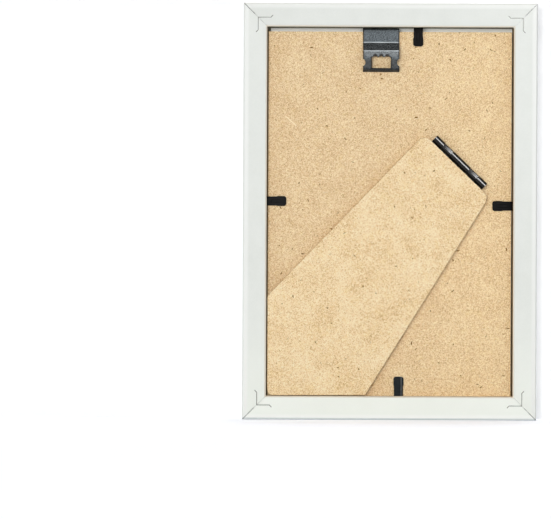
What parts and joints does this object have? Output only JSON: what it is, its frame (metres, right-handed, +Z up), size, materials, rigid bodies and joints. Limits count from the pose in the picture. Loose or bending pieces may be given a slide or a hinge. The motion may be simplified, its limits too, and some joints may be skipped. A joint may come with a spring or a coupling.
{
  "type": "easel back photo frame",
  "caption": "Upright photo frame with mitred white rails, hardboard back, diagonal easel strut on a pinned hinge, bendable retaining tabs and a sawtooth hanger.",
  "frame": {"origin": "middle of the bottom edge, half way through the moulding's depth", "axes": "+Z up the picture, +Y towards the picture side, +X to the right as seen from behind"},
  "size_m": [0.1212, 0.014, 0.1719],
  "materials": {
    "white_wrap": "satin white foil wrap",
    "hardboard": "bare fibreboard",
    "strut_board": "bare fibreboard, paler",
    "clear_glass": "clear float glass",
    "insert_paper": "plain paper",
    "blued_steel": "blued sheet",
    "black_steel": "black",
    "bright_steel": "bare strip"
  },
  "bodies": {
    "frame": {"rail_top": "white_wrap", "rail_bottom": "white_wrap", "rail_left": "white_wrap", "rail_right": "white_wrap", "corner_v_nails": "bright_steel", "glazing_sheet": "clear_glass", "picture_insert": "insert_paper", "backing_board": "hardboard", "sawtooth_hanger": "blued_steel", "hinge_board_leaf": "black_steel", "tab_top_blade": "black_steel", "tab_bottom_blade": "black_steel", "tab_left_blade": "black_steel", "tab_right_blade": "black_steel"},
    "strut": {"strut_leg": "strut_board", "hinge_strut_leaf": "black_steel", "hinge_pin": "black_steel"},
    "tab_top": {"tab_top": "black_steel"},
    "tab_bottom": {"tab_bottom": "black_steel"},
    "tab_left": {"tab_left": "black_steel"},
    "tab_right": {"tab_right": "black_steel"}
  },
  "joints": [
    {"name": "strut_swing", "type": "hinge", "parent": "frame", "child": "strut", "pos_m": [0.02883, -0.0036, 0.10648], "axis": [-0.7206, 0, 0.6934], "range_deg": [0, 40]},
    {"name": "tab_top_bend", "type": "hinge", "parent": "frame", "child": "tab_top", "pos_m": [0.0115, -0.0024, 0.1617], "axis": [-1, 0, 0], "range_deg": [0, 85]},
    {"name": "tab_bottom_bend", "type": "hinge", "parent": "frame", "child": "tab_bottom", "pos_m": [0.00395, -0.0024, 0.0102], "axis": [1, 0, 0], "range_deg": [0, 85]},
    {"name": "tab_left_bend", "type": "hinge", "parent": "frame", "child": "tab_left", "pos_m": [-0.05045, -0.0024, 0.0902], "axis": [0, 0, -1], "range_deg": [0, 85]},
    {"name": "tab_right_bend", "type": "hinge", "parent": "frame", "child": "tab_right", "pos_m": [0.05045, -0.0024, 0.0885], "axis": [0, 0, 1], "range_deg": [0, 85]}
  ]
}
